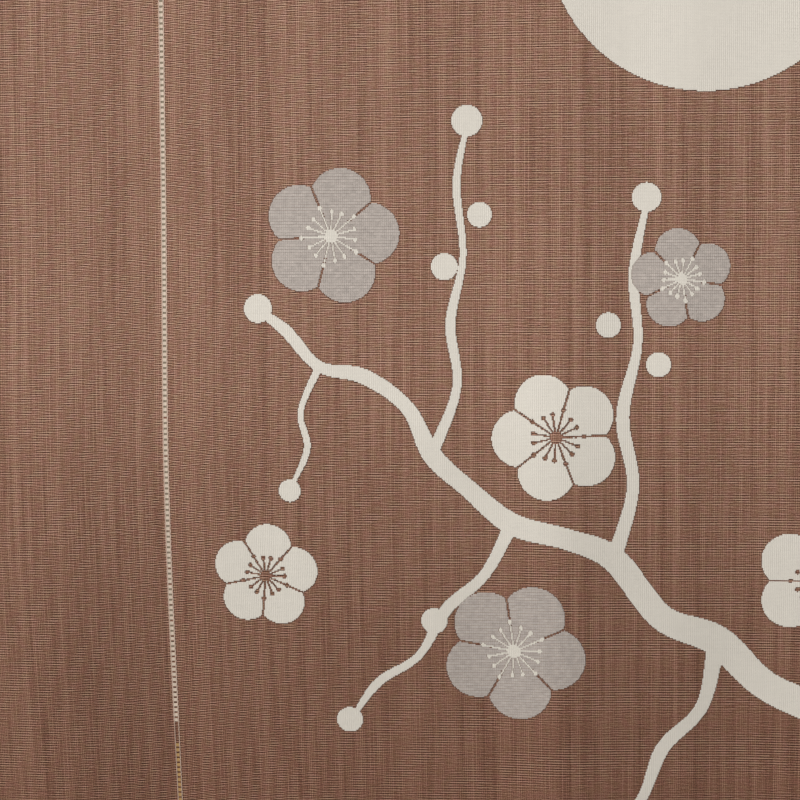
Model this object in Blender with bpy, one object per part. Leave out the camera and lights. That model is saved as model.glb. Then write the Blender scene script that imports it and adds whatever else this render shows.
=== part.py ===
# Noren curtain, modelled in metres, +Z up, with the front facing -Y.
# The origin is the middle of the top edge, where the rod pocket hangs.
#
# The curtain is one width of jacquard cloth. Its top end is turned to the back as a rod pocket,
# its bottom end is turned to the back as a hem, and it is slit up the middle from the hem.
# So its section is one line: up the back of the pocket, over the rod, down the front, round the
# hem and up again. That line is carried across the width, and the folds push it to front and back.

import math

import bmesh
import bpy
import numpy as np
from mathutils import Vector

# Driving dimensions
WIDTH = 0.850
DROP = 1.500
THICKNESS = 0.0012
LAYER_GAP = 0.0004

POCKET_DEPTH = 0.050
POCKET_ALLOWANCE = 0.008
ROD_ROOM = 0.018
HEM_DEPTH = 0.020

SLIT_LENGTH = 0.780
SLIT_GAP = 0.003
SLIT_TOP = DROP - SLIT_LENGTH

# How far the whole width hangs to the back (above nought) or the front, one row for each swing
SWINGS = (
    # from down, to down, by
    (0.400, 0.520, -0.003),
    (0.500, 0.780, 0.032),
    (0.860, 1.440, -0.020),
)

# Each soft ridge (rise above nought) or trough (below), with its rise and its lean at the hem
FOLDS = (
    # across, half width, starts, rise, lean
    (-0.415, 0.036, 0.060, 0.014, -0.004),
    (-0.322, 0.034, 0.160, -0.011, 0.010),
    (-0.226, 0.038, 0.100, 0.016, -0.014),
    (-0.120, 0.034, 0.300, -0.012, 0.006),
    (-0.046, 0.026, 0.240, 0.011, -0.010),
    (0.000, 0.010, 0.160, -0.004, 0.000),
    (0.074, 0.046, 0.200, 0.007, 0.012),
    (0.166, 0.024, 0.055, 0.010, 0.006),
    (0.240, 0.040, 0.320, -0.017, 0.012),
    (0.330, 0.036, 0.120, 0.013, -0.006),
    (0.418, 0.040, 0.260, -0.012, 0.000),
)
FOLDS_GROW = 1.25
FOLDS_SPREAD = 0.35

# The right flap hangs a little behind the left one, from the slit's top down
FLAP_SPREAD = 0.005
FLAP_REACH = 0.045

# How fine the surface is
ROW_STEP = 0.055
COLUMN_STEP = 0.018
POCKET_ARC_STEPS = 10
HEM_ARC_STEPS = 4
FINE_STEP = 0.002

CLOTH_COLOUR = (0.275, 0.155, 0.104, 1.0)
CLOTH_ROUGHNESS = 0.85


def smooth_step(value, start, end):
    """0 before start, 1 after end, and a soft rise between them."""
    t = np.clip((value - start) / (end - start), 0.0, 1.0)
    return t * t * (3.0 - 2.0 * t)


def swing(down):
    """How far back the whole width hangs, at a distance down from the top edge."""
    return sum(by * smooth_step(down, start, end) for start, end, by in SWINGS)


def fold_depth(across, down, side):
    """How far back the folds push the cloth. Side is -1 left of the slit and 1 right of it."""
    depth = side * FLAP_SPREAD * smooth_step(down, SLIT_TOP, DROP) * np.exp(-((across / FLAP_REACH) ** 2))
    for centre, half_width, starts, rise, lean in FOLDS:
        fall = max((down - starts) / (DROP - starts), 0.0)
        spread = half_width * (1.0 + FOLDS_SPREAD * fall)
        off = (across - centre - lean * fall) / spread
        depth = depth - rise * fall**FOLDS_GROW * np.exp(-(off**2))
    return depth


def running_length(distances, depths):
    """How far the cloth reaches at each distance along it, less what its slopes take up."""
    steps = np.diff(distances)
    reach = np.sqrt(steps**2 - np.diff(depths) ** 2)
    return np.concatenate([[0.0], np.cumsum(reach)])


def hang_row(across, down):
    """Where the points of one row hang, as arrays of x and y. The folds draw the sides in."""
    fine = np.linspace(0.0, WIDTH / 2, round(WIDTH / 2 / FINE_STEP) + 1)
    x = np.zeros_like(across)
    y = np.full_like(across, swing(down))
    for side in (-1, 1):
        reach = running_length(fine, fold_depth(side * fine, down, side))
        chosen = across * side > 0
        x[chosen] = side * np.interp(np.abs(across[chosen]), fine, reach)
        y[chosen] += fold_depth(across[chosen], down, side)
    return x, y


def row_height(down):
    """The height of a row. The swings take up a little of the drop."""
    fine = np.linspace(0.0, DROP, round(DROP / FINE_STEP) + 1)
    return -float(np.interp(down, fine, running_length(fine, swing(fine))))


def arc(centre, radius, start, end, steps):
    """Points (back, down) of an arc, its angles measured from straight up towards the back."""
    turns = np.linspace(start, end, steps + 1)
    return [(centre[0] + radius * math.sin(a), centre[1] - radius * math.cos(a)) for a in turns]


def rod_pocket(layer):
    """Up the back of the pocket, over the rod and down to the seam, where the layers meet."""
    radius = (ROD_ROOM + THICKNESS) / 2
    rod = (0.0, radius + THICKNESS / 2)
    reach = POCKET_DEPTH - rod[1]
    # The two sides leave the rod's circle on straight lines to the seam
    leave = math.pi - math.acos(radius / math.hypot(reach, layer)) - math.atan2(layer, reach)
    raw_edge = [(layer, POCKET_DEPTH + POCKET_ALLOWANCE), (layer, POCKET_DEPTH)]
    return raw_edge + arc(rod, radius, leave, -leave, POCKET_ARC_STEPS) + [(-layer, POCKET_DEPTH)]


def front(layer):
    """Down the front, with a row of points at the slit's top."""
    points = []
    for start, end in ((POCKET_DEPTH, SLIT_TOP), (SLIT_TOP, DROP - HEM_DEPTH)):
        rows = np.linspace(start, end, round((end - start) / ROW_STEP) + 1)
        points += [(-layer, float(down)) for down in rows[1:]]
    return points


def hem(layer):
    """Round the bottom edge and up the back of the hem."""
    turn = (0.0, DROP - layer - THICKNESS / 2)
    return arc(turn, layer, -math.pi / 2, -3 * math.pi / 2, HEM_ARC_STEPS) + [(layer, DROP - HEM_DEPTH)]


def columns():
    """Distances across the cloth, closer together by the slit."""
    half = [SLIT_GAP / 2, 0.007, 0.014]
    start = half[-1] + COLUMN_STEP / 2
    half += list(np.linspace(start, WIDTH / 2, round((WIDTH / 2 - start) / COLUMN_STEP) + 1))
    return np.array([-a for a in reversed(half)] + half)


def cloth_surface():
    """The middle of the cloth's thickness: the section carried across, in its folds, and slit."""
    layer = (THICKNESS + LAYER_GAP) / 2
    top = rod_pocket(layer)
    section = top + front(layer) + hem(layer)
    across = columns()
    slit_column = len(across) // 2 - 1
    mesh = bmesh.new()
    rows = []
    for back, down in section:
        x, y = hang_row(across, down)
        z = row_height(down)
        rows.append([mesh.verts.new(Vector((x[i], y[i] + back, z))) for i in range(len(across))])
    for r in range(len(rows) - 1):
        below_slit_top = r >= len(top) and min(section[r][1], section[r + 1][1]) > SLIT_TOP - THICKNESS
        for c in range(len(across) - 1):
            if not (below_slit_top and c == slit_column):
                mesh.faces.new((rows[r][c], rows[r][c + 1], rows[r + 1][c + 1], rows[r + 1][c]))
    bmesh.ops.recalc_face_normals(mesh, faces=mesh.faces)
    data = bpy.data.meshes.new("curtain_cloth")
    mesh.to_mesh(data)
    mesh.free()
    return data


def cloth_material():
    material = bpy.data.materials.new("woven_cloth")
    material.use_nodes = True
    shader = material.node_tree.nodes["Principled BSDF"]
    shader.inputs["Base Color"].default_value = CLOTH_COLOUR
    shader.inputs["Roughness"].default_value = CLOTH_ROUGHNESS
    shader.inputs["Metallic"].default_value = 0.0
    return material


def build_curtain():
    data = cloth_surface()
    data.materials.append(cloth_material())
    data.shade_smooth()
    curtain = bpy.data.objects.new("curtain_cloth", data)
    bpy.context.scene.collection.objects.link(curtain)
    thicken = curtain.modifiers.new("thickness", "SOLIDIFY")
    thicken.thickness = THICKNESS
    thicken.offset = 0.0
    thicken.use_even_offset = True


for old in list(bpy.data.objects):
    bpy.data.objects.remove(old)
build_curtain()
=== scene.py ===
import math

import bmesh
import bpy
import numpy as np
from mathutils import Matrix, Vector


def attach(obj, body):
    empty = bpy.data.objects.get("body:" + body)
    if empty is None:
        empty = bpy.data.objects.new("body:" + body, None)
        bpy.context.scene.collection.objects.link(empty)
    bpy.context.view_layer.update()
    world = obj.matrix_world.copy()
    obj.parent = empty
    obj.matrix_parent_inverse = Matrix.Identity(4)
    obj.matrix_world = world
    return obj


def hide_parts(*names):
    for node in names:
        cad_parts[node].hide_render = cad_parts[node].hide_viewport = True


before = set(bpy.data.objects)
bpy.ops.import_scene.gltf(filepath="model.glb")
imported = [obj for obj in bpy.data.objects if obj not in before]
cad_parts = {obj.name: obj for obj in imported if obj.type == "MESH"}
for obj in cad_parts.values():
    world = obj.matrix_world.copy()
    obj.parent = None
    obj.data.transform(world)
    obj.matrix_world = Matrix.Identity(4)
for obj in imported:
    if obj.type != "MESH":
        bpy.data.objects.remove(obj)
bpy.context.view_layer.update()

# The cloth. One width of brown jacquard, 850 mm wide. Its top is turned to the back and sewn down
# as a rod pocket, its bottom is turned up as a hem, and it is slit up the middle. It is made flat,
# as on the loom, and then hung in the same swings and folds as the solid.

WIDTH = 0.850
DROP = 1.500
THICKNESS = 0.0012
LAYER_GAP = 0.0004
POCKET_DEPTH = 0.050
POCKET_ALLOWANCE = 0.008
ROD_ROOM = 0.018
HEM_DEPTH = 0.020
SLIT_LENGTH = 0.780
SLIT_GAP = 0.003
SLIT_TOP = DROP - SLIT_LENGTH

# How far the whole width hangs to the back (above nought) or the front, one row for each swing
SWINGS = (
    # from down, to down, by
    (0.400, 0.520, -0.003),
    (0.500, 0.780, 0.032),
    (0.860, 1.440, -0.020),
)
# Each soft ridge (rise above nought) or trough (below), with its rise and its lean at the hem
FOLDS = (
    # across, half width, starts, rise, lean
    (-0.415, 0.036, 0.060, 0.014, -0.004),
    (-0.322, 0.034, 0.160, -0.011, 0.010),
    (-0.226, 0.038, 0.100, 0.016, -0.014),
    (-0.120, 0.034, 0.300, -0.012, 0.006),
    (-0.046, 0.026, 0.240, 0.011, -0.010),
    (0.000, 0.010, 0.160, -0.004, 0.000),
    (0.074, 0.046, 0.200, 0.007, 0.012),
    (0.166, 0.024, 0.055, 0.010, 0.006),
    (0.240, 0.040, 0.320, -0.017, 0.012),
    (0.330, 0.036, 0.120, 0.013, -0.006),
    (0.418, 0.040, 0.260, -0.012, 0.000),
)
FOLDS_GROW = 1.25
FOLDS_SPREAD = 0.35
# The right flap hangs a little behind the left one, from the slit's top down
FLAP_SPREAD = 0.005
FLAP_REACH = 0.045

# Shallow ripples from the weave's own tension, between the folds. They are whole from
# RIPPLES_WHOLE below the top edge to RIPPLES_FADE above the bottom one.
RIPPLES = (
    # across, half width, rise
    (-0.375, 0.020, 0.0007),
    (-0.270, 0.018, 0.0006),
    (-0.172, 0.019, -0.0006),
    (-0.082, 0.017, 0.0006),
    (-0.024, 0.014, -0.0004),
    (0.017, 0.014, 0.0005),
    (0.062, 0.017, 0.0004),
    (0.116, 0.016, 0.0006),
    (0.166, 0.015, 0.0006),
    (0.217, 0.018, 0.0012),
    (0.282, 0.019, -0.0006),
    (0.372, 0.018, 0.0006),
)
RIPPLES_WHOLE, RIPPLES_FADE = 0.26, 0.30

# Steps round the rod and round the hem's turn, and those of the tables of folds
ROD_STEPS, HEM_STEPS = 60, 12
ACROSS_STEP, DOWN_STEP = 0.0025, 0.0050
# Keeps a place off a table's last row and column, so that there is always a next one
TABLE_MARGIN = 1.001
# The cloth's direction at a place is read between two places this far to either side of it
DIRECTION_REACH = 0.0001

# The UV map that keeps the flat cloth's metres, and how sharp a bend in it looks like a crease
FLAT_UV = "flat_cloth"
CLOTH_CREASE = math.radians(30)


def smooth_step(value, start, end):
    """0 before start, 1 after end, and a soft rise between them."""
    t = np.clip((value - start) / (end - start), 0.0, 1.0)
    return t * t * (3.0 - 2.0 * t)


def swing(down):
    """How far back the whole width hangs."""
    return sum(by * smooth_step(down, start, end) for start, end, by in SWINGS)


def fold_depth(across, down, side):
    """How far back the folds push the cloth. Side is -1 left of the slit and 1 right of it."""
    apart = side * FLAP_SPREAD * smooth_step(down, SLIT_TOP, DROP)
    depth = apart * np.exp(-((across / FLAP_REACH) ** 2))
    for centre, half_width, starts, rise, lean in FOLDS:
        fall = np.maximum((down - starts) / (DROP - starts), 0.0)
        off = (across - centre - lean * fall) / (half_width * (1.0 + FOLDS_SPREAD * fall))
        depth = depth - rise * fall**FOLDS_GROW * np.exp(-(off**2))
    rippled = smooth_step(down, POCKET_DEPTH, RIPPLES_WHOLE)
    rippled = rippled * smooth_step(-down, HEM_DEPTH - DROP, RIPPLES_FADE - DROP)
    for centre, half_width, rise in RIPPLES:
        depth = depth - rise * rippled * np.exp(-(((across - centre) / half_width) ** 2))
    return depth


def arc(centre, radius, start, end, steps):
    """Points (back, down) of an arc, its angles measured from straight up towards the back."""
    turns = np.linspace(start, end, steps + 1)
    return [(centre[0] + radius * math.sin(a), centre[1] - radius * math.cos(a)) for a in turns]


def cloth_section():
    """The line that the cloth's middle follows, from the pocket's raw edge to the hem's, as points
    (back, down), with the distance along it, which on the front is the distance down."""
    layer = (THICKNESS + LAYER_GAP) / 2
    radius = (ROD_ROOM + THICKNESS) / 2
    rod = (0.0, radius + THICKNESS / 2)
    reach = POCKET_DEPTH - rod[1]
    # The two sides leave the rod's circle on straight lines to the seam
    leave = math.pi - math.acos(radius / math.hypot(reach, layer)) - math.atan2(layer, reach)
    line = [(layer, POCKET_DEPTH + POCKET_ALLOWANCE), (layer, POCKET_DEPTH)]
    line += arc(rod, radius, leave, -leave, ROD_STEPS)
    seam = len(line)
    turn = (0.0, DROP - layer - THICKNESS / 2)
    line += [(-layer, POCKET_DEPTH), (-layer, turn[1])]
    line += arc(turn, layer, -math.pi / 2, -3 * math.pi / 2, HEM_STEPS)[1:]
    line.append((layer, DROP - HEM_DEPTH))
    line = np.array(line)
    along = np.concatenate([[0.0], np.cumsum(np.hypot(*np.diff(line, axis=0).T))])
    along += POCKET_DEPTH - along[seam]
    return along, line


SECTION_ALONG, SECTION_LINE = cloth_section()
ALONG_START, ALONG_END = float(SECTION_ALONG[0]), float(SECTION_ALONG[-1])


def running_lengths(step, depths):
    """How far the cloth reaches at each step along each row, less what its slopes take up."""
    reach = np.sqrt(step**2 - np.diff(depths, axis=-1) ** 2)
    return np.concatenate([np.zeros_like(depths[..., :1]), np.cumsum(reach, axis=-1)], axis=-1)


table_across = np.arange(0.0, WIDTH / 2 + ACROSS_STEP, ACROSS_STEP)
table_down = np.arange(0.0, DROP + DOWN_STEP, DOWN_STEP)
table_depth = {s: fold_depth(s * table_across[None, :], table_down[:, None], s) for s in (-1, 1)}
table_reach = {s: running_lengths(ACROSS_STEP, table_depth[s]) for s in (-1, 1)}
table_height = -running_lengths(DOWN_STEP, swing(table_down))


def read_table(table, across, down):
    """The value between the table's four nearest points."""
    column = np.clip(np.abs(across) / ACROSS_STEP, 0.0, table.shape[1] - TABLE_MARGIN)
    row = np.clip(down / DOWN_STEP, 0.0, table.shape[0] - TABLE_MARGIN)
    c, r = column.astype(int), row.astype(int)
    fc, fr = column - c, row - r
    upper = table[r, c] * (1 - fc) + table[r, c + 1] * fc
    lower = table[r + 1, c] * (1 - fc) + table[r + 1, c + 1] * fc
    return upper * (1 - fr) + lower * fr


def read_sides(tables, across, down):
    """The value from the left or the right table, by the side that each place is on."""
    left, right = (read_table(tables[side], across, down) for side in (-1, 1))
    return np.where(across < 0, left, right)


def hang(across, along, proud):
    """Where points of the flat cloth hang. Proud is how far they stand out from its middle."""
    back, down = (np.interp(along, SECTION_ALONG, SECTION_LINE[:, i]) for i in (0, 1))
    run_back, run_down = (
        np.interp(along + DIRECTION_REACH, SECTION_ALONG, SECTION_LINE[:, i])
        - np.interp(along - DIRECTION_REACH, SECTION_ALONG, SECTION_LINE[:, i])
        for i in (0, 1)
    )
    length = np.hypot(run_back, run_down)
    x = np.where(across < 0, -1, 1) * read_sides(table_reach, across, down)
    y = read_sides(table_depth, across, down) + swing(down) + back - run_down / length * proud
    z = np.interp(down, table_down, table_height) - run_back / length * proud
    return np.stack([x, y, z], axis=1)


def hung_piece(name, flat, material, crease=CLOTH_CREASE):
    """Hangs a flat bmesh, whose X is across, -Y along and Z proud of the cloth's middle."""
    mesh = bpy.data.meshes.new(name)
    flat.to_mesh(mesh)
    flat.free()
    spots = np.zeros(len(mesh.vertices) * 3)
    mesh.vertices.foreach_get("co", spots)
    spots = spots.reshape(-1, 3)
    corners = np.zeros(len(mesh.loops), dtype=np.int32)
    mesh.loops.foreach_get("vertex_index", corners)
    uv = mesh.uv_layers.new(name=FLAT_UV)
    uv.data.foreach_set("uv", spots[corners][:, :2].ravel())
    mesh.vertices.foreach_set("co", hang(spots[:, 0], -spots[:, 1], spots[:, 2]).ravel())
    mesh.shade_smooth()
    mesh.set_sharp_from_angle(angle=crease)
    mesh.materials.append(material)
    mesh.update()
    piece = bpy.data.objects.new(name, mesh)
    bpy.context.scene.collection.objects.link(piece)
    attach(piece, "root")
    return piece


# The weave. Ribs of soft brown weft, one every 1.16 mm, with a finer weft between them and an
# uneven fine warp. Each thread has streaks of its own tone, and the dye drifts between pink and
# ochre. By the middle line the two wefts slant against each other and break the ribs into dashes.

RIB_PITCH, FINE_PITCH, WARP_PITCH = 0.00116, 0.00101, 0.00080
STREAK_LENGTH = 0.0052
# How far apart the threads lie in the noise that gives their tones, and how much longer than
# STREAK_LENGTH their streaks are
THREAD_TONES = (
    # threads, step, longer
    ("Rib", 1.37, 1.0),
    ("Fine", 2.61, 1.0),
    ("Warp", 1.83, 10.0),
)
THREAD_DETAIL = 2.0
# Soft noise over the cloth: the yarn's fuzz, faint lines down the whole length, and the dye
CLOTH_NOISE = (
    # name, width, height, detail
    ("Fuzz", 0.00050, 0.00042, 1.0),
    ("Length", 0.0045, 0.55, 2.0),
    ("Dye", 0.0036, 0.0036, 2.0),
)
# The slant, in threads a metre, is most at SLANT_PLACE and fades over SLANT_REACH to either side
SLANT, SLANT_PLACE, SLANT_REACH = 116.0, 0.010, 0.060
# The finer weft drifts this many threads ahead and behind, once in each DRIFT_LENGTH down
DRIFT, DRIFT_LENGTH, DRIFT_START = 7.5, 0.50, 0.40

BROWN_ROUGHNESS, BROWN_GLOSS = 0.60, 0.15
BROWN_DARK = (0.040, 0.014, 0.008, 1.0)
BROWN_MIDDLE = (0.233, 0.117, 0.078, 1.0)
BROWN_LIGHT = (0.475, 0.308, 0.228, 1.0)
DARK_PLACE, MIDDLE_PLACE = 0.08, 0.5
# How far each wave and each tone swings the brown between its dark and its light
BROWN_WAVES = (("Rib", 0.60), ("Fine", 0.84), ("Warp", 0.38))
BROWN_TONES = (("Fuzz", 0.62), ("Warp Tone", 0.30), ("Length", 0.26), ("Rib Tone", 0.10))
# A thread's wave shows where its tone is high, and the dye is mostly pink or ochre: gain, offset
WAVE_SHOWS = (2.6, -0.75)
DYE_PARTS = (2.6, -0.8)
DYE_PINK = (1.03, 0.975, 1.01, 1.0)
DYE_OCHRE = (0.98, 1.02, 0.94, 1.0)
# Painted shade, for the sheen and light that fade lower down: the ground darkens between these
# distances
SHADE_FALL_FROM, SHADE_FALL_TO = 0.42, 0.76
UNSHADED = (1.0, 1.0, 1.0, 1.0)
PAINTED_SHADE = (0.71, 0.63, 0.59, 1.0)
WEAVE_RELIEF, WARP_SHARE = 0.00006, 0.4
SHEEN_ROUGHNESS = 0.6


def new_group(name, inputs, outputs):
    """A shader node group, all of whose sockets are numbers."""
    group = bpy.data.node_groups.new(name, "ShaderNodeTree")
    for in_out, labels in (("INPUT", inputs), ("OUTPUT", outputs)):
        for label in labels:
            group.interface.new_socket(label, in_out=in_out, socket_type="NodeSocketFloat")
    return group, group.nodes.new("NodeGroupInput"), group.nodes.new("NodeGroupOutput")


def math_node(tree, operation, *values):
    """A Math node. Each value is a number or a socket."""
    node = tree.nodes.new("ShaderNodeMath")
    node.operation = operation
    for slot, value in enumerate(values):
        if isinstance(value, (int, float)):
            node.inputs[slot].default_value = value
        else:
            tree.links.new(value, node.inputs[slot])
    return node.outputs[0]


def mix_colours(tree, factor, first, second, blend="MIX"):
    """A Mix node for two colours. The factor and each colour are a value or a socket."""
    node = tree.nodes.new("ShaderNodeMix")
    node.data_type = "RGBA"
    node.blend_type = blend
    # A colour mix has its factor and its two colours in these inputs
    for slot, value in ((0, factor), (6, first), (7, second)):
        if isinstance(value, (int, float, tuple)):
            node.inputs[slot].default_value = value
        else:
            tree.links.new(value, node.inputs[slot])
    return node.outputs[2]


def noise(tree, x, y, detail):
    """Soft noise, between nought and one, over a place given by two sockets."""
    place = tree.nodes.new("ShaderNodeCombineXYZ")
    for slot, value in enumerate((x, y)):
        tree.links.new(value, place.inputs[slot])
    node = tree.nodes.new("ShaderNodeTexNoise")
    node.noise_dimensions = "2D"
    node.inputs["Scale"].default_value = 1.0
    node.inputs["Detail"].default_value = detail
    tree.links.new(place.outputs[0], node.inputs["Vector"])
    return node.outputs[0]


def thread_lines_group():
    """Waves over the threads, a streaky tone for each, the cloth's soft noise and the distance
    down, all from the flat cloth's own metres."""
    group, given, result = new_group(
        "thread_lines",
        ("Rib Pitch", "Fine Pitch", "Warp Pitch", "Streak Length", "Slant"),
        tuple(label + part for label, _, _ in THREAD_TONES for part in ("", " Tone"))
        + tuple(label for label, _, _, _ in CLOTH_NOISE)
        + ("Down",),
    )
    uv = group.nodes.new("ShaderNodeUVMap")
    uv.uv_map = FLAT_UV
    split = group.nodes.new("ShaderNodeSeparateXYZ")
    group.links.new(uv.outputs[0], split.inputs[0])
    across, up = split.outputs[0], split.outputs[1]
    group.links.new(math_node(group, "MULTIPLY", up, -1.0), result.inputs["Down"])
    slant = math_node(group, "MULTIPLY_ADD", across, 1 / SLANT_REACH, -SLANT_PLACE / SLANT_REACH)
    slant = math_node(group, "MULTIPLY", math_node(group, "TANH", slant), given.outputs["Slant"])
    turns, start = math.tau / DRIFT_LENGTH, math.tau * DRIFT_START / DRIFT_LENGTH
    drift = math_node(group, "SINE", math_node(group, "MULTIPLY_ADD", up, turns, start))
    drift = math_node(group, "MULTIPLY", drift, DRIFT)
    for label, step, longer in THREAD_TONES:
        place, other = (across, up) if label == "Warp" else (up, across)
        count = math_node(group, "DIVIDE", place, given.outputs[label + " Pitch"])
        if label == "Rib":
            count = math_node(group, "ADD", count, slant)
        elif label == "Fine":
            count = math_node(group, "ADD", math_node(group, "SUBTRACT", count, slant), drift)
        wave = math_node(group, "COSINE", math_node(group, "MULTIPLY", count, math.tau))
        wave = math_node(group, "MULTIPLY_ADD", wave, -0.5, 0.5)
        group.links.new(wave, result.inputs[label])
        thread = math_node(group, "MULTIPLY_ADD", math_node(group, "FLOOR", count), step, step)
        streak = math_node(group, "DIVIDE", other, given.outputs["Streak Length"])
        streak = math_node(group, "DIVIDE", streak, longer)
        tone = noise(group, thread, streak, THREAD_DETAIL)
        group.links.new(tone, result.inputs[label + " Tone"])
    for label, width, height, detail in CLOTH_NOISE:
        x, y = math_node(group, "DIVIDE", across, width), math_node(group, "DIVIDE", up, height)
        group.links.new(noise(group, x, y, detail), result.inputs[label])
    return group


thread_lines = thread_lines_group()


def lines_on(tree, streak_length=STREAK_LENGTH, slant=0.0):
    """The thread lines in a material, as sockets by name."""
    node = tree.nodes.new("ShaderNodeGroup")
    node.node_tree = thread_lines
    given = (RIB_PITCH, FINE_PITCH, WARP_PITCH, streak_length, slant)
    for slot, value in enumerate(given):
        node.inputs[slot].default_value = value
    return node.outputs


def new_material(name, roughness, sheen=0.0, gloss=0.25):
    """A material with its node tree and its shader."""
    material = bpy.data.materials.new(name)
    material.use_nodes = True
    shader = material.node_tree.nodes["Principled BSDF"]
    shader.inputs["Roughness"].default_value = roughness
    shader.inputs["Specular IOR Level"].default_value = gloss
    shader.inputs["Sheen Weight"].default_value = sheen
    shader.inputs["Sheen Roughness"].default_value = SHEEN_ROUGHNESS
    return material, material.node_tree, shader


def around_nought(tree, socket, amount):
    """A mask between nought and one, made a swing of the given size about nought."""
    return math_node(tree, "MULTIPLY_ADD", socket, amount, -amount / 2)


def pulled_apart(tree, socket, gain, offset):
    """A soft noise, stretched so that much of it is nought or one."""
    mask = math_node(tree, "MULTIPLY_ADD", socket, gain, offset)
    mask.node.use_clamp = True
    return mask


def add_all(tree, start, *terms):
    """The sum of a number and some sockets."""
    total = start
    for term in terms:
        total = math_node(tree, "ADD", term, total)
    return total


def bump(tree, shader, height, distance):
    """Relief too fine for the mesh, from a mask whose one stands the distance proud."""
    node = tree.nodes.new("ShaderNodeBump")
    node.inputs["Distance"].default_value = distance
    tree.links.new(height, node.inputs["Height"])
    tree.links.new(node.outputs[0], shader.inputs["Normal"])


def brown_weave(name, middle):
    """The ground's weave, whose brown swings between dark and light about its middle."""
    material, tree, shader = new_material(name, BROWN_ROUGHNESS, gloss=BROWN_GLOSS)
    lines = lines_on(tree, slant=SLANT * SLANT_REACH)
    swings = []
    for label, depth in BROWN_WAVES:
        shows = pulled_apart(tree, lines[label + " Tone"], *WAVE_SHOWS)
        wave = around_nought(tree, lines[label], depth)
        swings.append(math_node(tree, "MULTIPLY", wave, shows))
    swings += [around_nought(tree, lines[label], depth) for label, depth in BROWN_TONES]
    ramp = tree.nodes.new("ShaderNodeValToRGB")
    ramp.color_ramp.elements[0].color = BROWN_DARK
    ramp.color_ramp.elements[0].position = DARK_PLACE
    ramp.color_ramp.elements[1].color = BROWN_LIGHT
    ramp.color_ramp.elements.new(MIDDLE_PLACE).color = middle
    tree.links.new(add_all(tree, MIDDLE_PLACE, *swings), ramp.inputs[0])
    dye = pulled_apart(tree, lines["Dye"], *DYE_PARTS)
    tint = mix_colours(tree, dye, DYE_PINK, DYE_OCHRE)
    colour = mix_colours(tree, 1.0, ramp.outputs[0], tint, "MULTIPLY")
    # Painted shade: the brown is darker towards the bottom, where the sheen and light fade
    shade_fall = tree.nodes.new("ShaderNodeMapRange")
    shade_fall.interpolation_type = "SMOOTHSTEP"
    shade_fall.inputs["From Min"].default_value = SHADE_FALL_FROM
    shade_fall.inputs["From Max"].default_value = SHADE_FALL_TO
    tree.links.new(lines["Down"], shade_fall.inputs["Value"])
    shade = mix_colours(tree, shade_fall.outputs[0], UNSHADED, PAINTED_SHADE)
    colour = mix_colours(tree, 1.0, colour, shade, "MULTIPLY")
    tree.links.new(colour, shader.inputs["Base Color"])
    height = math_node(tree, "MULTIPLY_ADD", lines["Warp"], WARP_SHARE, lines["Rib"])
    bump(tree, shader, height, WEAVE_RELIEF)
    return material


# The cloth's rows are close together over the rod, between these two distances along it, and
# round the hem's turn. ROW_COUNTS has the number of rows up to each change and to the raw edge.
ROD_FROM, ROD_TO = -0.028, 0.022
BEFORE_TURN, TURN_LENGTH = 0.003, 0.004
ROW_COUNTS = (7, 32, 87, 95, 8, 3)
# The columns next to the slit, and the even ones after them
SLIT_COLUMNS = (SLIT_GAP / 2, 0.003)
EVEN_START, EVEN_COLUMNS = 0.006, 84


def cloth_rows():
    """The rows of points, by distance along the cloth, close together where it turns."""
    turn = float(SECTION_ALONG[-2]) - BEFORE_TURN
    stops = (ALONG_START, ROD_FROM, ROD_TO, SLIT_TOP, turn, turn + TURN_LENGTH, ALONG_END)
    rows = [
        np.linspace(start, end, count + 1)[:-1]
        for start, end, count in zip(stops, stops[1:], ROW_COUNTS)
    ]
    return np.concatenate([*rows, [ALONG_END]])


def cloth_columns():
    """The distances across of the columns of points."""
    half = np.concatenate([SLIT_COLUMNS, np.linspace(EVEN_START, WIDTH / 2, EVEN_COLUMNS)])
    return np.concatenate([-half[::-1], half])


def make_cloth():
    """The one width of cloth, slit while it is flat, hung, and then given its thickness."""
    rows, columns = cloth_rows(), cloth_columns()
    last_row, last_column = len(rows) - 1, len(columns) - 1
    flat = bmesh.new()
    bmesh.ops.create_grid(flat, x_segments=last_column, y_segments=last_row, size=0.5)
    for vert in flat.verts:
        column = round((vert.co.x + 0.5) * last_column)
        row = round((0.5 - vert.co.y) * last_row)
        vert.co = (columns[column], -rows[row], 0.0)
    slit = []
    for face in flat.faces:
        spot = face.calc_center_median()
        if abs(spot.x) < SLIT_GAP / 4 and -spot.y > SLIT_TOP:
            slit.append(face)
    bmesh.ops.delete(flat, geom=slit, context="FACES")
    piece = hung_piece("curtain_cloth_woven", flat, brown_weave("brown_cloth", BROWN_MIDDLE))
    thicken = piece.modifiers.new("thickness", "SOLIDIFY")
    thicken.thickness = THICKNESS
    thicken.offset = 0.0
    thicken.use_even_offset = True
    return piece


cloth = make_cloth()
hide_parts("curtain_cloth")

# The selvedges. At each side edge the weft turns back round a few stouter brown warp cords, so the
# edge is a narrow firm band that needs no hem.

CLOTH_FACE = THICKNESS / 2
THREAD_SUNK, THREAD_END = 0.00015, 0.00004
# How many faces go round a thread: its two sides, its top and its underside
THREAD_FACES = 4
THREAD_CREASE = math.radians(25)
SELVEDGE_CORDS = (0.4245, 0.4233, 0.4221, 0.4209)
CORD_BASE, CORD_TOP, CORD_RISE = 0.0010, 0.0006, 0.00010
SELVEDGE_MIDDLE = (0.140, 0.067, 0.045, 1.0)


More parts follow.
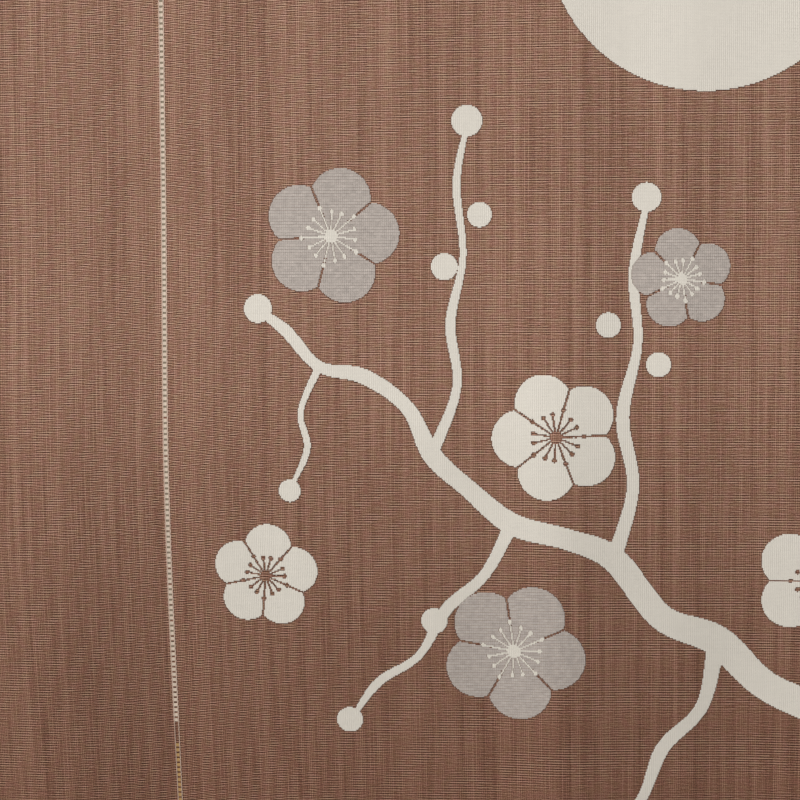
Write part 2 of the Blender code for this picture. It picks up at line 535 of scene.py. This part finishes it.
def thread(places, centre, base, top, rise, upright=False, face=1):
    """One thread through the places, as rows of numbers for lay_threads. Base and top are its
    widths. An upright one runs down the cloth, and face -1 puts it on the cloth's inner side."""
    rows = np.zeros((len(places), 7))
    rows[:, 0], rows[:, 1], rows[:, 2], rows[:, 3], rows[:, 4] = places, centre, base, top, rise
    rows[[0, -1], 4] = -THREAD_END
    rows[:, 5], rows[:, 6] = upright, face
    return rows


def with_ends(start, end, taper, step=math.inf):
    """Places along a thread, a step apart at most, with its two ends close to the next place."""
    inner = np.linspace(start + taper, end - taper, max(int((end - start) / step), 0) + 2)
    return np.concatenate([[start], inner, [end]])


def lay_threads(name, threads, material):
    """Threads lying on the cloth, as closed bars whose bases and ends are sunk in. One long strip
    is cut into the threads, each is wrapped round into a bar, and its ends are filled."""
    columns = np.concatenate(threads)
    last = len(columns) - 1
    cuts = set(np.cumsum([len(rows) for rows in threads]) - 1)
    flat = bmesh.new()
    bmesh.ops.create_grid(flat, x_segments=last, y_segments=THREAD_FACES, size=0.5)
    joins = [f for f in flat.faces if int((f.calc_center_median().x + 0.5) * last) in cuts]
    bmesh.ops.delete(flat, geom=joins, context="FACES")
    seam_verts, wrapped = {}, {}
    for vert in flat.verts:
        i, j = round((vert.co.x + 0.5) * last), round((vert.co.y + 0.5) * THREAD_FACES)
        run, centre, base, top, rise, upright, face = columns[i]
        side = centre + (-base / 2, -top / 2, top / 2, base / 2, -base / 2)[j]
        height = rise if j in (1, 2) else -THREAD_SUNK
        vert.co = (side, -run, 0.0) if upright else (run, -side, 0.0)
        vert.co.z = face * (CLOTH_FACE + height)
        if j == 0:
            seam_verts[i] = vert
        elif j == THREAD_FACES:
            wrapped[vert] = i
    targets = {vert: seam_verts[i] for vert, i in wrapped.items()}
    bmesh.ops.weld_verts(flat, targetmap=targets)
    bmesh.ops.edgeloop_fill(flat, edges=[edge for edge in flat.edges if edge.is_boundary])
    bmesh.ops.recalc_face_normals(flat, faces=flat.faces)
    return hung_piece(name, flat, material, THREAD_CREASE)


def make_selvedges():
    places = cloth_rows()[1:-1]
    cords = [
        thread(places, side * cord, CORD_BASE, CORD_TOP, CORD_RISE, upright=True)
        for side in (-1, 1)
        for cord in SELVEDGE_CORDS
    ]
    return lay_threads("selvedges", cords, brown_weave("selvedge_brown", SELVEDGE_MIDDLE))


selvedges = make_selvedges()

# The middle line. Two pinkish cream warp threads run down the cloth's middle, with short cream
# blocks of weft between them like rungs, gold ones near the slit. The weaver puts it in to show
# where the cloth is cut. Beside the slit the two threads keep its edges.

# Each thread's place, and its place beside the slit
LINE_THREAD, LINE_THREAD_AT_SLIT = 0.00091, 0.00195
LINE_ZIGZAG = 0.00008
LINE_RISE = 0.00015
# Each thread's width at its base and its top, stout by the cream blocks and thin above the slit
LINE_STOUT, LINE_THIN = (0.00054, 0.00040), (0.00042, 0.00026)
# How far from the cloth's ends the threads stop, and how far above the slit they start to part
LINE_INSET, LINE_PARTS = 0.001, 0.008
CREAM_RUNGS = (0.0520, 0.6374)
GOLD_RUNGS = (0.6482, 0.7180)
# The rungs, the ticks beside them and the gaps' thread. Tall is a size down the cloth, a taper is
# that of the ends, and a bevel is how much less the top measures than the base.
RUNG_PITCH = 2 * RIB_PITCH
RUNG_HALF, RUNG_TALL = 0.00071, 0.00152
RUNG_TAPER, RUNG_BEVEL, RUNG_RISE = 0.00006, 0.00010, 0.00012
TICK_START, TICK_END, TICK_TALL = 0.00100, 0.00152, 0.00036
TICK_TAPER, TICK_BEVEL, TICK_RISE = 0.00010, 0.00015, 0.00006
GAP_BASE, GAP_TOP, GAP_RISE = 0.00190, 0.00180, 0.00002
GAP_TAPER, GAP_STEP = 0.0002, 0.006
LINE_PINK = (0.500, 0.375, 0.300)
LINE_CREAM = (0.556, 0.462, 0.372)
LINE_GOLD = (0.375, 0.228, 0.088)
# The back weft in the gaps, darkened as painted shade between the raised rungs
SHADED_GAP_GREY = (0.205, 0.164, 0.116)
SHADED_GAP_GOLD = (0.225, 0.132, 0.052)
GAP_FUZZ, PINK_FUZZ = 0.20, 0.15
YARN_ROUGHNESS, YARN_SHEEN, YARN_RELIEF = 0.75, 0.05, 0.00005


def plain_yarn(
    name,
    colour,
    rib_shade=0.10,
    warp_shade=0.06,
    fuzz=0.08,
    rib_wave=0.0,
    streak_length=STREAK_LENGTH,
):
    """Yarn of one colour, a little lighter and darker by thread and along each."""
    material, tree, shader = new_material(name, YARN_ROUGHNESS, sheen=YARN_SHEEN)
    lines = lines_on(tree, streak_length)
    shades = (
        ("Rib Tone", 2 * rib_shade),
        ("Fine Tone", rib_shade),
        ("Rib", rib_wave),
        ("Warp", warp_shade),
        ("Warp Tone", warp_shade),
        ("Fuzz", 2 * fuzz),
    )
    tone = add_all(tree, 1.0, *(around_nought(tree, lines[label], by) for label, by in shades))
    tint = tree.nodes.new("ShaderNodeCombineColor")
    for channel in range(3):
        value = math_node(tree, "MULTIPLY", tone, colour[channel])
        tree.links.new(value, tint.inputs[channel])
    tree.links.new(tint.outputs[0], shader.inputs["Base Color"])
    bump(tree, shader, lines["Warp"], YARN_RELIEF)
    return material


def line_threads():
    """The two threads, from the pocket's raw edge over the top and down to the hem's."""
    places = np.arange(ALONG_START + LINE_INSET, ALONG_END - LINE_INSET, RIB_PITCH)
    spread = smooth_step(places, SLIT_TOP - LINE_PARTS, SLIT_TOP)
    offset = LINE_THREAD + (LINE_THREAD_AT_SLIT - LINE_THREAD) * spread
    sway = LINE_ZIGZAG * np.where(np.arange(len(places)) % 2 == 0, -1, 1)
    # Between the cream blocks and the slit the ground's ribs cover their sides
    covered = (places > CREAM_RUNGS[1]) & (places < SLIT_TOP)
    base, top = (np.where(covered, thin, stout) for stout, thin in zip(LINE_STOUT, LINE_THIN))
    pair = [
        thread(places, centre, base, top, LINE_RISE, upright=True)
        for centre in (-offset, offset + sway)
    ]
    return lay_threads("line_threads", pair, line_pink)


def line_rungs(name, material, between):
    """Blocks of weft between the two threads, with a small gap after each."""
    places = with_ends(-RUNG_HALF, RUNG_HALF, RUNG_TAPER)
    rungs = [
        thread(places, middle, RUNG_TALL, RUNG_TALL - RUNG_BEVEL, RUNG_RISE)
        for middle in np.arange(*between, RUNG_PITCH)
    ]
    return lay_threads(name, rungs, material)


def line_ticks():
    """Where a rung's weft comes out beside the two threads before it goes under the ground."""
    ticks = []
    for middle in np.arange(*CREAM_RUNGS, RUNG_PITCH):
        for side, shift in ((-1, 0.0), (1, RIB_PITCH / 2)):
            places = with_ends(*sorted((side * TICK_START, side * TICK_END)), TICK_TAPER)
            top = TICK_TALL - TICK_BEVEL
            ticks.append(thread(places, middle + shift, TICK_TALL, top, TICK_RISE))
    return lay_threads("line_ticks", ticks, line_pink)


def line_gaps(name, material, between):
    """The back weft, which shows in the gaps between the rungs, darkened as painted shade."""
    places = with_ends(between[0] - RIB_PITCH, between[1], GAP_TAPER, GAP_STEP)
    gaps = thread(places, 0.0, GAP_BASE, GAP_TOP, GAP_RISE, upright=True)
    return lay_threads(name, [gaps], material)


line_pink = plain_yarn("line_pink", LINE_PINK, fuzz=PINK_FUZZ)
line_pieces = [
    line_threads(),
    line_rungs("cream_rungs", plain_yarn("line_cream", LINE_CREAM), CREAM_RUNGS),
    line_rungs("gold_rungs", plain_yarn("line_gold", LINE_GOLD), GOLD_RUNGS),
    line_ticks(),
    # The gaps' back weft, in painted shade
    line_gaps("line_gaps", plain_yarn("shaded_gap_grey", SHADED_GAP_GREY, fuzz=GAP_FUZZ), CREAM_RUNGS),
    line_gaps("gold_gaps", plain_yarn("shaded_gap_gold", SHADED_GAP_GOLD, fuzz=GAP_FUZZ), GOLD_RUNGS),
]

# The pattern. A plum branch in flower under a full moon, in cream and grey pattern weft that lies
# over the brown ground. On the loom each thread starts and stops at whole warp steps, so every
# edge is finely stepped. The chart has one cell for each pattern thread and warp step.

CELL_ACROSS, CELL_DOWN = 0.00043, RIB_PITCH / 2
GROUND, CREAM, GREY = 0, 1, 2
CHART_COLUMNS = 2 * int(WIDTH / 2 / CELL_ACROSS)
CHART_ROWS = int(DROP / CELL_DOWN)
CELL_LEFT = -CHART_COLUMNS / 2 * CELL_ACROSS
BRUSH_STEP = 0.0004
chart = np.zeros((CHART_ROWS, CHART_COLUMNS), dtype=np.uint8)

# The drawing is 800 units wide and high. Its unit in metres, where the cloth's middle line
# crosses it, and how far its top is below the cloth's top edge.
DRAWING_UNIT = 0.00043
DRAWING_LINE = 165
DRAWING_TOP = 0.330

# A blossom's petals, middle, partings between petals, eye and stamens, as shares of its radius
PETALS, PETAL_PLACE, PETAL_SIZE = 5, 0.56, 0.45
MIDDLE_SIZE, EYE_SIZE = 0.40, 0.10
PARTING = (0.30, 0.80)
STAMENS, STAMEN_SHORT, STAMEN_LONG = 15, 0.36, 0.44
# The width of a parting and a stamen, and the radius of a stamen's tip
PARTING_WIDTH, STAMEN_WIDTH, STAMEN_TIP = 0.0009, 0.0008, 0.0010

MOON = (690, -62, 152)  # x, y, radius
# Each branch as points: x, y, width
BRANCHES = (
    ((1180, 900, 44), (1040, 800, 40), (930, 760, 38), (820, 700, 34), (752, 668, 30),
     (704, 622, 31), (650, 598, 26), (604, 540, 25), (560, 520, 21), (505, 505, 22),
     (462, 470, 18), (428, 438, 19), (404, 392, 14), (362, 362, 15), (318, 352, 11),
     (286, 318, 12), (262, 300, 8)),
    ((604, 540, 15), (622, 468, 12), (612, 400, 13), (626, 330, 9), (622, 262, 10),
     (634, 196, 6)),
    ((428, 438, 12), (452, 372, 9), (446, 310, 10), (458, 246, 7), (452, 176, 8),
     (462, 120, 5)),
    ((505, 505, 14), (478, 556, 11), (440, 592, 12), (412, 640, 8), (372, 668, 9),
     (344, 706, 5)),
    ((704, 622, 18), (690, 690, 13), (652, 734, 14), (630, 790, 10), (590, 830, 11),
     (572, 880, 6)),
    ((318, 352, 8), (300, 396, 6), (306, 432, 7), (290, 470, 4)),
    ((930, 760, 18), (962, 640, 14), (950, 540, 12), (972, 440, 8), (965, 360, 6)),
)
BUDS = (
    # x, y, radius
    (462, 116, 15), (474, 206, 12), (440, 256, 13), (634, 190, 14), (646, 350, 12),
    (598, 312, 12), (258, 296, 14), (342, 708, 13), (428, 604, 13), (288, 474, 11),
    (572, 884, 14), (966, 352, 15),
)
BLOSSOMS = (
    # yarn, detail, x, y, radius, turn
    (GREY, CREAM, 330, 226, 66, 0.25),
    (CREAM, GROUND, 548, 420, 62, 0.9),
    (GREY, CREAM, 506, 634, 70, 0.5),
    (CREAM, GROUND, 262, 560, 52, 0.1),
    (GREY, CREAM, 668, 268, 48, 1.1),
    (CREAM, GROUND, 800, 560, 60, 0.3),
    (GREY, CREAM, 905, 650, 66, 0.7),
)

CREAM_COLOUR = (0.640, 0.604, 0.538)
GREY_COLOUR = (0.434, 0.386, 0.351)
# A dark brown painted round the pattern as shade and shadow
PAINTED_SHADOW_BROWN = (0.130, 0.064, 0.042)
# The pattern threads' taper and step, then how much narrower their tops are, and their rise
FLOAT_END, FLOAT_STEP = 0.00014, 0.008
CREAM_BEVEL, CREAM_RISE = 0.00003, 0.00016
GREY_BEVEL, GREY_RISE = 0.00012, 0.00014
# How far the painted shadow shows past the pattern threads, and how thick it lies in turn by row
FRINGE_LEFT, FRINGE_RIGHT = 0.00034, 0.00022
FRINGE_ABOVE, FRINGE_BELOW = 0.00010, 0.00026
FRINGE_END, FRINGE_BEVEL = 0.00008, 0.00010
FRINGE_RISE = (0.00002, 0.00004)


def stamp(yarn, across, down, radius):
    """A round spot in the chart."""
    column = (across - CELL_LEFT) / CELL_ACROSS
    row = down / CELL_DOWN
    left = max(int(column - radius / CELL_ACROSS) - 1, 0)
    right = min(int(column + radius / CELL_ACROSS) + 2, CHART_COLUMNS)
    top = max(int(row - radius / CELL_DOWN) - 1, 0)
    bottom = min(int(row + radius / CELL_DOWN) + 2, CHART_ROWS)
    if left >= right or top >= bottom:
        return
    x = CELL_LEFT + (np.arange(left, right) + 0.5) * CELL_ACROSS - across
    y = (np.arange(top, bottom) + 0.5) * CELL_DOWN - down
    spot = x[None, :] ** 2 + y[:, None] ** 2 < radius**2
    chart[top:bottom, left:right][spot] = yarn


def brush(yarn, points):
    """A stroke with round ends through the points (across, down, width), on a smooth curve."""
    points = np.array(points)
    ends = np.vstack([2 * points[0] - points[1], points, 2 * points[-1] - points[-2]])
    for i in range(len(points) - 1):
        before, start, end, after = ends[i : i + 4]
        steps = max(int(np.hypot(*(end - start)[:2]) / BRUSH_STEP), 1)
        for t in np.linspace(0.0, 1.0, steps + 1):
            bend = (2 * before - 5 * start + 4 * end - after) * t
            bend += (3 * (start - end) + after - before) * t * t
            across, down, width = start + 0.5 * t * ((end - before) + bend)
            stamp(yarn, across, down, width / 2)


def blossom(yarn, detail, across, down, radius, turn):
    """A plum blossom seen from the front: five round petals, parted by thin lines, with stamens."""

    def out(angle, share):
        """The place at a share of the radius out from the blossom's middle."""
        reach = share * radius
        return across + reach * math.sin(angle), down - reach * math.cos(angle)

    for petal in range(PETALS):
        angle = turn + petal * math.tau / PETALS
        stamp(yarn, *out(angle, PETAL_PLACE), PETAL_SIZE * radius)
    stamp(yarn, across, down, MIDDLE_SIZE * radius)
    for petal in range(PETALS):
        angle = turn + (petal + 0.5) * math.tau / PETALS
        brush(GROUND, [(*out(angle, share), PARTING_WIDTH) for share in PARTING])
    stamp(detail, across, down, EYE_SIZE * radius)
    for stamen in range(STAMENS):
        angle = turn + (stamen + 0.5) * math.tau / STAMENS
        length = STAMEN_LONG if stamen % 3 == 1 else STAMEN_SHORT
        brush(detail, [(*out(angle, share), STAMEN_WIDTH) for share in (EYE_SIZE, length)])
        stamp(detail, *out(angle, length), STAMEN_TIP)


def on_cloth(x, y, size):
    """A place and a size in the drawing, in metres on the cloth: across, down and size."""
    across = (x - DRAWING_LINE) * DRAWING_UNIT
    return across, DRAWING_TOP + y * DRAWING_UNIT, size * DRAWING_UNIT


def chart_pattern():
    """Draws the moon, the branches, the buds and the blossoms into the chart."""
    stamp(CREAM, *on_cloth(*MOON))
    for branch in BRANCHES:
        brush(CREAM, [on_cloth(*point) for point in branch])
    for bud in BUDS:
        stamp(CREAM, *on_cloth(*bud))
    for yarn, detail, x, y, radius, turn in BLOSSOMS:
        blossom(yarn, detail, *on_cloth(x, y, radius), turn)


def chart_runs(cells):
    """Where the chosen cells of each row start and end."""
    for row in range(CHART_ROWS):
        marks = np.concatenate([[0], cells[row].astype(int), [0]])
        for start, end in np.flatnonzero(np.diff(marks)).reshape(-1, 2):
            yield row, CELL_LEFT + start * CELL_ACROSS, CELL_LEFT + end * CELL_ACROSS


def make_floats(name, yarn, bevel, rise, material):
    """All the threads of one yarn, row by row."""
    floats = []
    for row, left, right in chart_runs(chart == yarn):
        places = with_ends(left, right, FLOAT_END, FLOAT_STEP)
        centre = (row + 0.5) * CELL_DOWN
        floats.append(thread(places, centre, CELL_DOWN, CELL_DOWN - bevel, rise))
    return lay_threads(name, floats, material)


def make_painted_shadow(material):
    """Dark painted shade and shadow all round the pattern, where its threads go down through the
    ground.
    """
    tall = CELL_DOWN + FRINGE_ABOVE + FRINGE_BELOW
    bars = []
    for row, left, right in chart_runs(chart != GROUND):
        places = with_ends(left - FRINGE_LEFT, right + FRINGE_RIGHT, FRINGE_END, FLOAT_STEP)
        centre = (row + 0.5) * CELL_DOWN + (FRINGE_BELOW - FRINGE_ABOVE) / 2
        bars.append(thread(places, centre, tall, tall - FRINGE_BEVEL, FRINGE_RISE[row % 2]))
    return lay_threads("pattern_painted_shadow", bars, material)


chart_pattern()
cream_weft = plain_yarn("cream_weft", CREAM_COLOUR, rib_shade=0.03, warp_shade=0.055, fuzz=0.04)
grey_weft = plain_yarn(
    "grey_weft", GREY_COLOUR, rib_shade=0.20, fuzz=0.15, rib_wave=0.28, streak_length=0.0028
)
# Painted shade and shadow round the pattern, in a dark brown
painted_shadow_brown = plain_yarn("painted_shadow_brown", PAINTED_SHADOW_BROWN, rib_shade=0.4, warp_shade=0.2, fuzz=0.3)
pattern_pieces = [
    make_floats("cream_pattern", CREAM, CREAM_BEVEL, CREAM_RISE, cream_weft),
    make_floats("grey_pattern", GREY, GREY_BEVEL, GREY_RISE, grey_weft),
    make_painted_shadow(painted_shadow_brown),
]

# The seams. The pocket and the hem are each sewn down with one row of brown machine stitches, and
# a few close stitches across the slit's top keep it from tearing further.

POCKET_SEAM, HEM_SEAM = 0.0515, 1.4835
SEAM_INSET = 0.004
STITCH_LENGTH, STITCH_PITCH, STITCH_TAPER = 0.0026, 0.0031, 0.0003
STITCH_BASE, STITCH_TOP, STITCH_RISE = 0.00055, 0.00030, 0.00016
TACK_HALF, TACK_STEP, TACK_STITCHES = 0.0035, 0.00055, 6
TACK_ABOVE_SLIT, TACK_PLACES = 0.0006, 0.002
TACK_BASE, TACK_TOP, TACK_RISE = 0.00054, 0.00030, 0.00022
STITCH_BROWN = (0.135, 0.063, 0.042)


def make_stitches():
    """Each seam's stitches show on the front and on the layer turned to the back."""
    turned_pocket_seam = ALONG_START + POCKET_DEPTH + POCKET_ALLOWANCE - POCKET_SEAM
    turned_hem_seam = ALONG_END - (HEM_SEAM - DROP + HEM_DEPTH)
    first, last = -WIDTH / 2 + SEAM_INSET, WIDTH / 2 - SEAM_INSET - STITCH_LENGTH
    near_slit = SLIT_GAP + STITCH_LENGTH / 2
    sewn = []
    for along in (POCKET_SEAM, HEM_SEAM, turned_pocket_seam, turned_hem_seam):
        for start in np.arange(first, last, STITCH_PITCH):
            if along < SLIT_TOP or abs(start + STITCH_LENGTH / 2) >= near_slit:
                places = with_ends(start, start + STITCH_LENGTH, STITCH_TAPER)
                sewn.append(thread(places, along, STITCH_BASE, STITCH_TOP, STITCH_RISE))
    tack = with_ends(-TACK_HALF, TACK_HALF, STITCH_TAPER, TACK_PLACES)
    for stitch in range(TACK_STITCHES):
        down = SLIT_TOP - TACK_ABOVE_SLIT - stitch * TACK_STEP
        for face in (1, -1):
            sewn.append(thread(tack, down, TACK_BASE, TACK_TOP, TACK_RISE, face=face))
    return lay_threads("stitches", sewn, plain_yarn("stitch_brown", STITCH_BROWN))


stitches = make_stitches()

# The stage. A pale floor below the hem, soft light from high on the left, and a camera close to
# the cloth, right of its middle line.

FLOOR_SIZE, FLOOR_HEIGHT = 4.0, -1.90
FLOOR_COLOUR = (0.78, 0.77, 0.75, 1.0)
FLOOR_ROUGHNESS = 0.9
LIGHTS = (
    # name, place, target, size, watts, colour
    ("key", (-2.35, -1.95, 2.05), (0.10, 0.0, -0.50), 1.0, 220.0, (1.0, 0.99, 0.985)),
    ("back", (1.3, 2.6, 0.9), (0.0, 0.0, -0.75), 1.8, 95.0, (1.0, 0.98, 0.96)),
    ("fill", (1.7, -1.9, 1.6), (0.1, 0.0, -0.50), 1.6, 24.0, (1.0, 0.97, 0.94)),
)
WORLD_COLOUR, WORLD_STRENGTH = (0.90, 0.86, 0.81, 1.0), 0.13
CAMERA_LENS = 108.8
CAMERA_PLACE = (0.2048, -1.0023, -0.4141)
CAMERA_DOWN, CAMERA_LEFT = math.radians(4.63), math.radians(6.02)
CAMERA_TILT = math.radians(-0.31)


def add_floor():
    flat = bmesh.new()
    bmesh.ops.create_grid(flat, x_segments=1, y_segments=1, size=FLOOR_SIZE)
    mesh = bpy.data.meshes.new("floor")
    flat.to_mesh(mesh)
    flat.free()
    material, _, shader = new_material("pale_floor", FLOOR_ROUGHNESS)
    shader.inputs["Base Color"].default_value = FLOOR_COLOUR
    mesh.materials.append(material)
    floor = bpy.data.objects.new("floor", mesh)
    floor.location.z = FLOOR_HEIGHT
    bpy.context.scene.collection.objects.link(floor)


def add_lights():
    for name, place, target, size, watts, colour in LIGHTS:
        light = bpy.data.lights.new(name, "AREA")
        light.shape = "DISK"
        light.size = size
        light.energy = watts
        light.color = colour
        lamp = bpy.data.objects.new(name, light)
        lamp.location = place
        lamp.rotation_euler = (Vector(target) - Vector(place)).to_track_quat("-Z", "Y").to_euler()
        bpy.context.scene.collection.objects.link(lamp)
    world = bpy.data.worlds.new("studio")
    world.use_nodes = True
    backdrop = world.node_tree.nodes["Background"]
    backdrop.inputs["Color"].default_value = WORLD_COLOUR
    backdrop.inputs["Strength"].default_value = WORLD_STRENGTH
    bpy.context.scene.world = world


def add_camera():
    camera = bpy.data.cameras.new("camera")
    camera.lens = CAMERA_LENS
    eye = bpy.data.objects.new("camera", camera)
    turn = Matrix.Rotation(CAMERA_LEFT, 4, "Z") @ Matrix.Rotation(math.pi / 2 - CAMERA_DOWN, 4, "X")
    turn = turn @ Matrix.Rotation(CAMERA_TILT, 4, "Z")
    eye.matrix_world = Matrix.Translation(CAMERA_PLACE) @ turn
    bpy.context.scene.collection.objects.link(eye)
    bpy.context.scene.camera = eye
    bpy.context.scene.view_settings.view_transform = "Standard"


add_floor()
add_lights()
add_camera()
